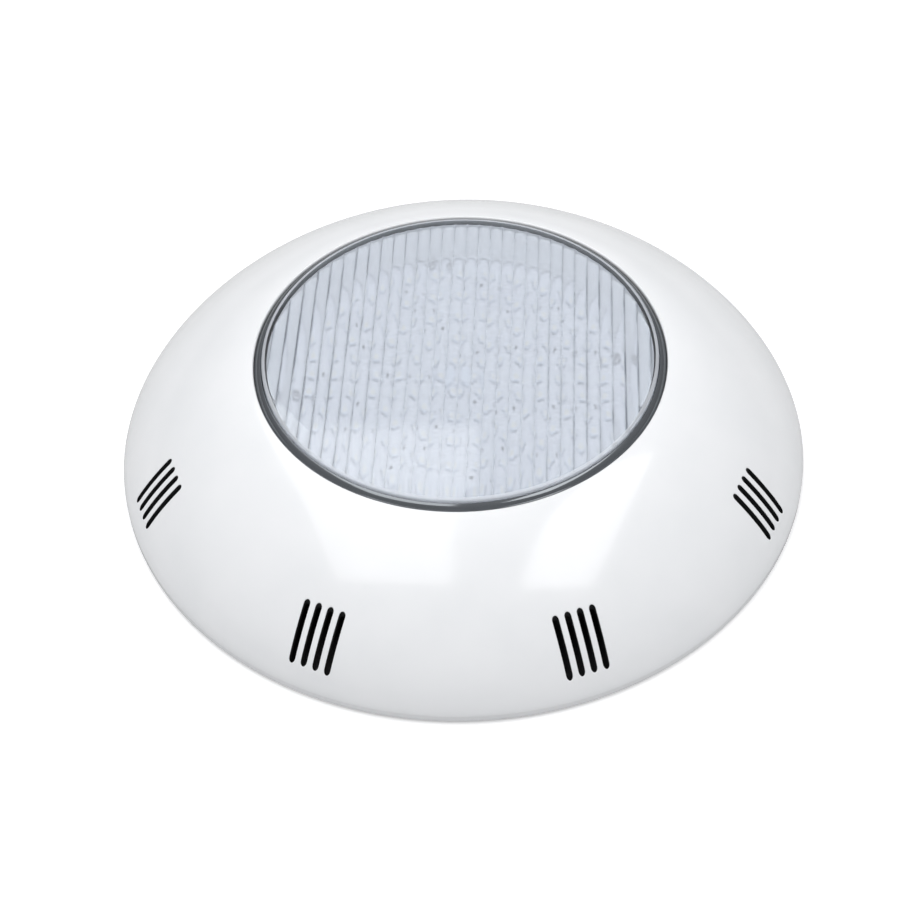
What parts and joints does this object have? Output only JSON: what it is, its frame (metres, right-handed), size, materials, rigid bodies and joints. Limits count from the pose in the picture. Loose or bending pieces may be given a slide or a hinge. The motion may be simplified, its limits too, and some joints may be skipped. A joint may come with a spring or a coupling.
{
  "type": "underwater pool light",
  "caption": "Surface-mounted underwater pool light: a domed face ring with water slots round a flat fluted lens, on a snap-fit wall bracket.",
  "frame": {"origin": "centre of the wall bracket's back face, on the light's axis", "axes": "+Z out of the pool wall, along the beam; +X towards the cable gland's side chamber"},
  "size_m": [0.29, 0.29, 0.0589],
  "materials": {
    "white_abs": "glossy injection-moulded white ABS",
    "black_abs": "fine-textured black ABS",
    "capacitor_sleeve": "shrink sleeve with a metal top",
    "dark_silicone": "satin dark grey silicone",
    "clear_lens": "clear polycarbonate, fluted inside",
    "stainless": "brushed stainless steel",
    "aluminium": "plain die-cast aluminium",
    "nickel_brass": "nickel-plated brass",
    "led_mask": "white solder mask with light-emitting packages",
    "green_board": "green solder mask",
    "black_rubber": "matt black rubber",
    "ferrite": "ferrite wound with enamelled copper",
    "brown_wire": "brown insulation",
    "blue_wire": "blue insulation",
    "red_wire": "red insulation"
  },
  "bodies": {
    "bracket": {"wall_bracket": "black_abs", "conduit_grommet": "black_rubber", "cable_clamp": "black_abs", "cable_clamp_screw_1": "stainless", "cable_clamp_screw_2": "stainless", "spring_clip_1": "stainless", "spring_clip_2": "stainless", "spring_clip_3": "stainless", "spring_clip_4": "stainless", "spring_clip_screw_1": "stainless", "spring_clip_screw_2": "stainless", "spring_clip_screw_3": "stainless", "spring_clip_screw_4": "stainless", "supply_cable": "black_rubber"},
    "lamp": {"lamp_housing": "black_abs", "bridge_rectifier": "black_abs", "driver_chip": "black_abs", "capacitor_1": "capacitor_sleeve", "capacitor_2": "capacitor_sleeve", "gland_o_ring": "black_rubber", "output_lead_negative": "black_rubber", "lens_clamp_ring": "stainless", "clamp_ring_screw_1": "stainless", "clamp_ring_screw_2": "stainless", "clamp_ring_screw_3": "stainless", "clamp_ring_screw_4": "stainless", "clamp_ring_screw_5": "stainless", "clamp_ring_screw_6": "stainless", "clamp_ring_screw_7": "stainless", "clamp_ring_screw_8": "stainless", "led_board_screw_1": "stainless", "led_board_screw_2": "stainless", "led_board_screw_3": "stainless", "led_board_screw_4": "stainless", "driver_board_screw_1": "stainless", "driver_board_screw_2": "stainless", "driver_board_screw_3": "stainless", "driver_board_screw_4": "stainless", "lens_seal": "dark_silicone", "lens_trim_seal": "dark_silicone", "lens": "clear_lens", "reflector_ring": "white_abs", "led_board": "led_mask", "heat_sink": "aluminium", "driver_board": "green_board", "terminal_block": "green_board", "choke": "ferrite", "live_core": "brown_wire", "neutral_core": "blue_wire", "output_lead_positive": "red_wire", "gland_body": "nickel_brass"},
    "face_ring": {"face_ring": "white_abs"},
    "gland_seal": {"gland_seal": "black_rubber"},
    "gland_nut": {"gland_nut": "nickel_brass"}
  },
  "joints": [
    {"name": "lamp_pull_off", "type": "slide", "parent": "bracket", "child": "lamp", "axis": [0, 0, 1], "range_m": [0, 0.06], "deforming": ["supply_cable", "spring_clip_1", "spring_clip_2", "spring_clip_3", "spring_clip_4"]},
    {"name": "face_ring_twist", "type": "hinge", "parent": "lamp", "child": "face_ring", "pos_m": [0, 0, 0.04], "axis": [0, 0, 1], "range_deg": [0, 16]},
    {"name": "gland_nut_turn", "type": "hinge", "parent": "gland_seal", "child": "gland_nut", "pos_m": [0.0945, 0.015, 0.0244], "axis": [0, 1, 0], "range_deg": [0, 720]},
    {"name": "gland_seal_slide", "type": "slide", "parent": "lamp", "child": "gland_seal", "axis": [0, 1, 0], "range_m": [0, 0.0031]}
  ],
  "couplings": [
    {"joint": "gland_seal_slide", "follows": "gland_nut_turn", "m_per_rad": 0.00023873}
  ]
}
